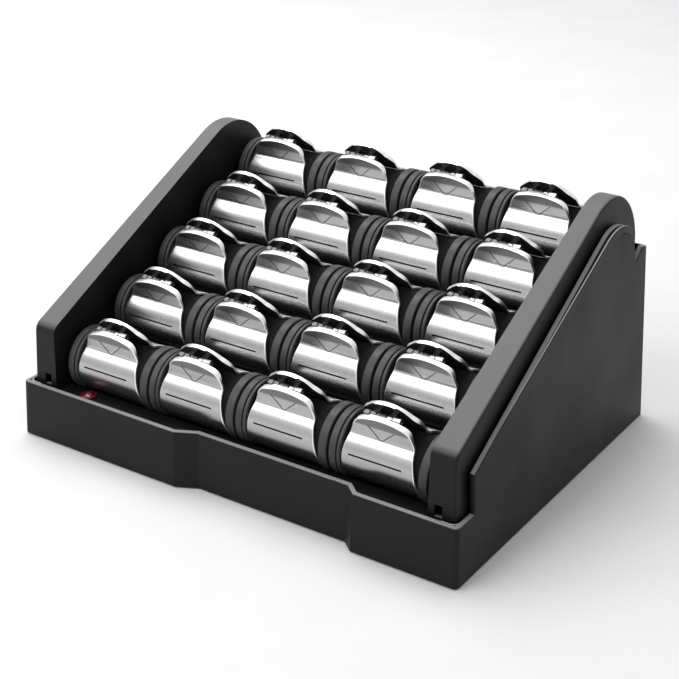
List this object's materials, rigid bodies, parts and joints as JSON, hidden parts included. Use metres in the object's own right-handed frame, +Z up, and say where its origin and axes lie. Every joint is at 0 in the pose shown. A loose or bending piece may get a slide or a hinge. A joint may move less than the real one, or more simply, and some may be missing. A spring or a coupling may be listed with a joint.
{
  "type": "heated hair roller set",
  "caption": "Heated base with a sloped rack of lift-out ribbed hair rollers, each held by a two-jaw sprung steel clip.",
  "frame": {"origin": "middle of the footprint, on the surface that the rubber feet stand on", "axes": "+Z up; the low front of the rack faces -Y; +X to the right as seen from the front"},
  "size_m": [0.291, 0.224, 0.1484],
  "materials": {
    "housing": "satin moulded black",
    "roller_ring": "matte dark grey",
    "clip_steel": "polished plated steel",
    "heater_metal": "drawn aluminium",
    "heater_rod": "sheathed rod",
    "indicator_lens": "clear red",
    "soft_rubber": "matte",
    "screw_steel": "zinc plated"
  },
  "bodies": {
    "base": {"outer_shell": "housing", "rack_tray": "housing", "left_cheek": "housing", "right_cheek": "housing", "bottom_plate": "housing", "heater_cradles": "heater_metal", "heating_element": "heater_rod", "thermostat": "heater_rod", "indicator_lens": "indicator_lens", "cord_gland": "soft_rubber", "rubber_feet": "soft_rubber", "housing_screws": "screw_steel"},
    "roller_and_clip_r1c1": {"roller_r1c1": "roller_ring", "clip_pin_and_spring_r1c1": "clip_steel"},
    "roller_and_clip_r1c2": {"roller_r1c2": "roller_ring", "clip_pin_and_spring_r1c2": "clip_steel"},
    "roller_and_clip_r1c3": {"roller_r1c3": "roller_ring", "clip_pin_and_spring_r1c3": "clip_steel"},
    "roller_and_clip_r1c4": {"roller_r1c4": "roller_ring", "clip_pin_and_spring_r1c4": "clip_steel"},
    "roller_and_clip_r2c1": {"roller_r2c1": "roller_ring", "clip_r2c1": "clip_steel"},
    "roller_and_clip_r2c2": {"roller_r2c2": "roller_ring", "clip_r2c2": "clip_steel"},
    "roller_and_clip_r2c3": {"roller_r2c3": "roller_ring", "clip_r2c3": "clip_steel"},
    "roller_and_clip_r2c4": {"roller_r2c4": "roller_ring", "clip_r2c4": "clip_steel"},
    "roller_and_clip_r3c1": {"roller_r3c1": "roller_ring", "clip_r3c1": "clip_steel"},
    "roller_and_clip_r3c2": {"roller_r3c2": "roller_ring", "clip_r3c2": "clip_steel"},
    "roller_and_clip_r3c3": {"roller_r3c3": "roller_ring", "clip_r3c3": "clip_steel"},
    "roller_and_clip_r3c4": {"roller_r3c4": "roller_ring", "clip_r3c4": "clip_steel"},
    "roller_and_clip_r4c1": {"roller_r4c1": "roller_ring", "clip_r4c1": "clip_steel"},
    "roller_and_clip_r4c2": {"roller_r4c2": "roller_ring", "clip_r4c2": "clip_steel"},
    "roller_and_clip_r4c3": {"roller_r4c3": "roller_ring", "clip_r4c3": "clip_steel"},
    "roller_and_clip_r4c4": {"roller_r4c4": "roller_ring", "clip_r4c4": "clip_steel"},
    "roller_and_clip_r5c1": {"roller_r5c1": "roller_ring", "clip_r5c1": "clip_steel"},
    "roller_and_clip_r5c2": {"roller_r5c2": "roller_ring", "clip_r5c2": "clip_steel"},
    "roller_and_clip_r5c3": {"roller_r5c3": "roller_ring", "clip_r5c3": "clip_steel"},
    "roller_and_clip_r5c4": {"roller_r5c4": "roller_ring", "clip_r5c4": "clip_steel"},
    "front_jaw_r1c1": {"clip_front_jaw_r1c1": "clip_steel"},
    "rear_jaw_r1c1": {"clip_rear_jaw_r1c1": "clip_steel"},
    "front_jaw_r1c2": {"clip_front_jaw_r1c2": "clip_steel"},
    "rear_jaw_r1c2": {"clip_rear_jaw_r1c2": "clip_steel"},
    "front_jaw_r1c3": {"clip_front_jaw_r1c3": "clip_steel"},
    "rear_jaw_r1c3": {"clip_rear_jaw_r1c3": "clip_steel"},
    "front_jaw_r1c4": {"clip_front_jaw_r1c4": "clip_steel"},
    "rear_jaw_r1c4": {"clip_rear_jaw_r1c4": "clip_steel"}
  },
  "joints": [
    {"name": "roller_r1c1_lift", "type": "slide", "parent": "base", "child": "roller_and_clip_r1c1", "axis": [0, -0.4002, 0.9164], "range_m": [0, 0.06]},
    {"name": "roller_r1c2_lift", "type": "slide", "parent": "base", "child": "roller_and_clip_r1c2", "axis": [0, -0.4002, 0.9164], "range_m": [0, 0.06]},
    {"name": "roller_r1c3_lift", "type": "slide", "parent": "base", "child": "roller_and_clip_r1c3", "axis": [0, -0.4002, 0.9164], "range_m": [0, 0.06]},
    {"name": "roller_r1c4_lift", "type": "slide", "parent": "base", "child": "roller_and_clip_r1c4", "axis": [0, -0.4002, 0.9164], "range_m": [0, 0.06]},
    {"name": "roller_r2c1_lift", "type": "slide", "parent": "base", "child": "roller_and_clip_r2c1", "axis": [0, -0.4002, 0.9164], "range_m": [0, 0.06]},
    {"name": "roller_r2c2_lift", "type": "slide", "parent": "base", "child": "roller_and_clip_r2c2", "axis": [0, -0.4002, 0.9164], "range_m": [0, 0.06]},
    {"name": "roller_r2c3_lift", "type": "slide", "parent": "base", "child": "roller_and_clip_r2c3", "axis": [0, -0.4002, 0.9164], "range_m": [0, 0.06]},
    {"name": "roller_r2c4_lift", "type": "slide", "parent": "base", "child": "roller_and_clip_r2c4", "axis": [0, -0.4002, 0.9164], "range_m": [0, 0.06]},
    {"name": "roller_r3c1_lift", "type": "slide", "parent": "base", "child": "roller_and_clip_r3c1", "axis": [0, -0.4002, 0.9164], "range_m": [0, 0.06]},
    {"name": "roller_r3c2_lift", "type": "slide", "parent": "base", "child": "roller_and_clip_r3c2", "axis": [0, -0.4002, 0.9164], "range_m": [0, 0.06]},
    {"name": "roller_r3c3_lift", "type": "slide", "parent": "base", "child": "roller_and_clip_r3c3", "axis": [0, -0.4002, 0.9164], "range_m": [0, 0.06]},
    {"name": "roller_r3c4_lift", "type": "slide", "parent": "base", "child": "roller_and_clip_r3c4", "axis": [0, -0.4002, 0.9164], "range_m": [0, 0.06]},
    {"name": "roller_r4c1_lift", "type": "slide", "parent": "base", "child": "roller_and_clip_r4c1", "axis": [0, -0.4002, 0.9164], "range_m": [0, 0.06]},
    {"name": "roller_r4c2_lift", "type": "slide", "parent": "base", "child": "roller_and_clip_r4c2", "axis": [0, -0.4002, 0.9164], "range_m": [0, 0.06]},
    {"name": "roller_r4c3_lift", "type": "slide", "parent": "base", "child": "roller_and_clip_r4c3", "axis": [0, -0.4002, 0.9164], "range_m": [0, 0.06]},
    {"name": "roller_r4c4_lift", "type": "slide", "parent": "base", "child": "roller_and_clip_r4c4", "axis": [0, -0.4002, 0.9164], "range_m": [0, 0.06]},
    {"name": "roller_r5c1_lift", "type": "slide", "parent": "base", "child": "roller_and_clip_r5c1", "axis": [0, -0.4002, 0.9164], "range_m": [0, 0.06]},
    {"name": "roller_r5c2_lift", "type": "slide", "parent": "base", "child": "roller_and_clip_r5c2", "axis": [0, -0.4002, 0.9164], "range_m": [0, 0.06]},
    {"name": "roller_r5c3_lift", "type": "slide", "parent": "base", "child": "roller_and_clip_r5c3", "axis": [0, -0.4002, 0.9164], "range_m": [0, 0.06]},
    {"name": "roller_r5c4_lift", "type": "slide", "parent": "base", "child": "roller_and_clip_r5c4", "axis": [0, -0.4002, 0.9164], "range_m": [0, 0.06]},
    {"name": "front_jaw_r1c1_open", "type": "hinge", "parent": "roller_and_clip_r1c1", "child": "front_jaw_r1c1", "pos_m": [-0.09, -0.08795, 0.06838], "axis": [-1, 0, 0], "range_deg": [0, 12], "stiffness_Nm_per_rad": 0.2, "springref_deg": -11.46},
    {"name": "rear_jaw_r1c1_open", "type": "hinge", "parent": "roller_and_clip_r1c1", "child": "rear_jaw_r1c1", "pos_m": [-0.09, -0.08795, 0.06838], "axis": [1, 0, 0], "range_deg": [0, 12]},
    {"name": "front_jaw_r1c2_open", "type": "hinge", "parent": "roller_and_clip_r1c2", "child": "front_jaw_r1c2", "pos_m": [-0.03, -0.08795, 0.06838], "axis": [-1, 0, 0], "range_deg": [0, 12], "stiffness_Nm_per_rad": 0.2, "springref_deg": -11.46},
    {"name": "rear_jaw_r1c2_open", "type": "hinge", "parent": "roller_and_clip_r1c2", "child": "rear_jaw_r1c2", "pos_m": [-0.03, -0.08795, 0.06838], "axis": [1, 0, 0], "range_deg": [0, 12]},
    {"name": "front_jaw_r1c3_open", "type": "hinge", "parent": "roller_and_clip_r1c3", "child": "front_jaw_r1c3", "pos_m": [0.03, -0.08795, 0.06838], "axis": [-1, 0, 0], "range_deg": [0, 12], "stiffness_Nm_per_rad": 0.2, "springref_deg": -11.46},
    {"name": "rear_jaw_r1c3_open", "type": "hinge", "parent": "roller_and_clip_r1c3", "child": "rear_jaw_r1c3", "pos_m": [0.03, -0.08795, 0.06838], "axis": [1, 0, 0], "range_deg": [0, 12]},
    {"name": "front_jaw_r1c4_open", "type": "hinge", "parent": "roller_and_clip_r1c4", "child": "front_jaw_r1c4", "pos_m": [0.09, -0.08795, 0.06838], "axis": [-1, 0, 0], "range_deg": [0, 12], "stiffness_Nm_per_rad": 0.2, "springref_deg": -11.46},
    {"name": "rear_jaw_r1c4_open", "type": "hinge", "parent": "roller_and_clip_r1c4", "child": "rear_jaw_r1c4", "pos_m": [0.09, -0.08795, 0.06838], "axis": [1, 0, 0], "range_deg": [0, 12]}
  ],
  "couplings": [
    {"joint": "rear_jaw_r1c1_open", "follows": "front_jaw_r1c1_open", "ratio": 1},
    {"joint": "rear_jaw_r1c2_open", "follows": "front_jaw_r1c2_open", "ratio": 1},
    {"joint": "rear_jaw_r1c3_open", "follows": "front_jaw_r1c3_open", "ratio": 1},
    {"joint": "rear_jaw_r1c4_open", "follows": "front_jaw_r1c4_open", "ratio": 1}
  ]
}
